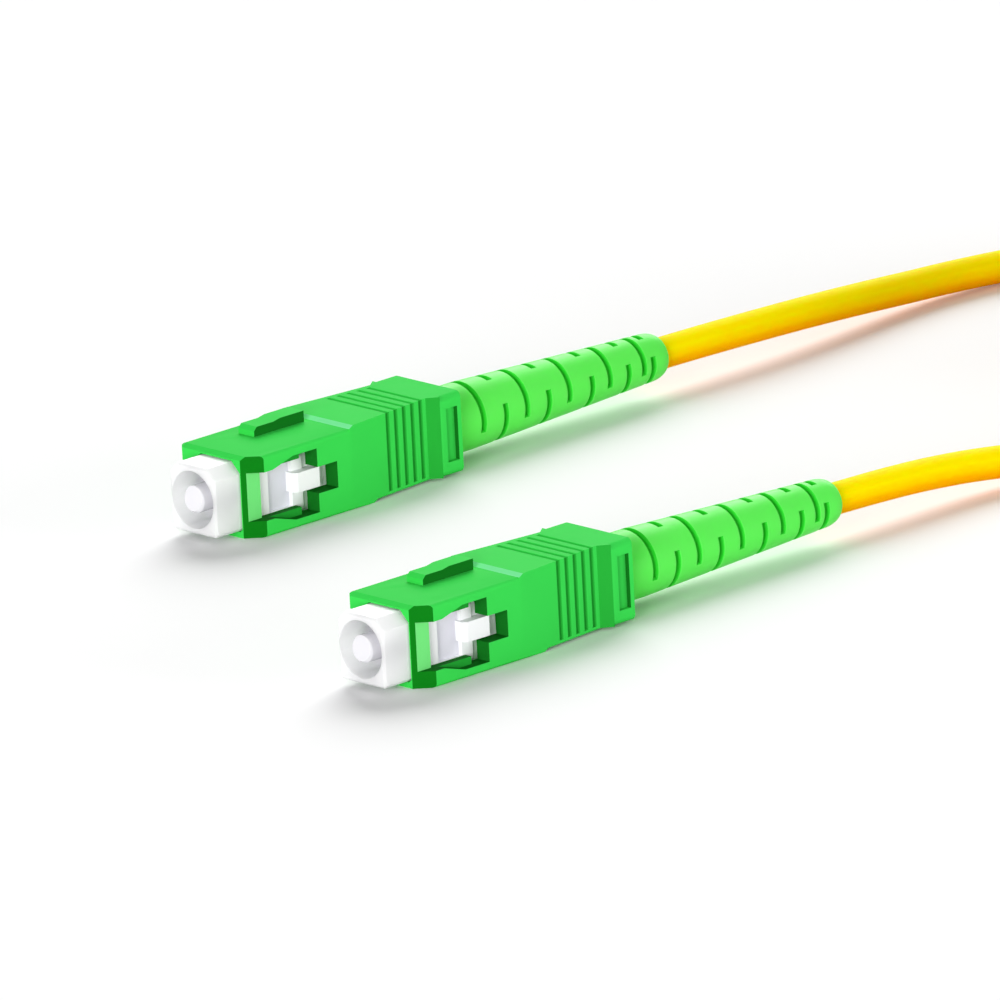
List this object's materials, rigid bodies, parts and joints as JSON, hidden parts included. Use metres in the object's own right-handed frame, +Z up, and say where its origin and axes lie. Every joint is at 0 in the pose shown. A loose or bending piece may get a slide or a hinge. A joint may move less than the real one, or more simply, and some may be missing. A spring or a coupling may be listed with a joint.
{
  "type": "fiber optic patch cord",
  "caption": "Simplex fibre optic patch cord: round yellow cable joining push-pull square plugs with angled ceramic ferrules and slotted strain relief boots.",
  "frame": {"origin": "middle of the space that the two connectors take up, on the surface they lie on", "axes": "+X from the plug noses toward the cable, +Y from connector b to connector a, +Z up"},
  "size_m": [0.1586, 0.0711, 0.0129],
  "materials": {
    "housing_green": "satin moulded plastic",
    "boot_green": "soft thermoplastic, satin",
    "frame_white": "satin moulded plastic",
    "zirconia": "polished ceramic",
    "flange_nickel": "nickel plated",
    "guide_plastic": "translucent tube",
    "spring_steel": "drawn wire",
    "post_metal": "turned metal",
    "crimp_brass": "plated, drawn",
    "aramid": "yarn",
    "buffer_white": "extruded",
    "jacket_yellow": "smooth extruded jacket",
    "tie_black": "woven strap"
  },
  "bodies": {
    "plugs_and_cable": {"plug_frame_a": "frame_white", "spring_a": "spring_steel", "stop_ring_a": "post_metal", "aramid_yarn_a": "aramid", "crimp_ring_a": "crimp_brass", "jacket_end_a": "jacket_yellow", "buffer_a": "buffer_white", "boot_a": "boot_green", "plug_frame_b": "frame_white", "spring_b": "spring_steel", "stop_ring_b": "post_metal", "aramid_yarn_b": "aramid", "crimp_ring_b": "crimp_brass", "jacket_end_b": "jacket_yellow", "buffer_b": "buffer_white", "boot_b": "boot_green", "cable_run_a": "jacket_yellow", "cable_coil": "jacket_yellow", "cable_run_b": "jacket_yellow", "cable_tie_1": "tie_black", "cable_tie_2": "tie_black"},
    "grip_a": {"grip_a": "housing_green"},
    "ferrule_a": {"ferrule_a": "zirconia", "ferrule_flange_a": "flange_nickel", "guide_tube_a": "guide_plastic"},
    "grip_b": {"grip_b": "housing_green"},
    "ferrule_b": {"ferrule_b": "zirconia", "ferrule_flange_b": "flange_nickel", "guide_tube_b": "guide_plastic"}
  },
  "joints": [
    {"name": "grip_slide_a", "type": "slide", "parent": "plugs_and_cable", "child": "grip_a", "axis": [1, 0, 0], "range_m": [-0.001, 0.001]},
    {"name": "ferrule_push_a", "type": "slide", "parent": "plugs_and_cable", "child": "ferrule_a", "axis": [1, 0, 0], "range_m": [0, 0.0015], "stiffness_N_per_m": 2500, "springref_m": -0.003, "deforming": ["spring_a"]},
    {"name": "grip_slide_b", "type": "slide", "parent": "plugs_and_cable", "child": "grip_b", "axis": [1, 0, 0], "range_m": [-0.001, 0.001]},
    {"name": "ferrule_push_b", "type": "slide", "parent": "plugs_and_cable", "child": "ferrule_b", "axis": [1, 0, 0], "range_m": [0, 0.0015], "stiffness_N_per_m": 2500, "springref_m": -0.003, "deforming": ["spring_b"]}
  ]
}
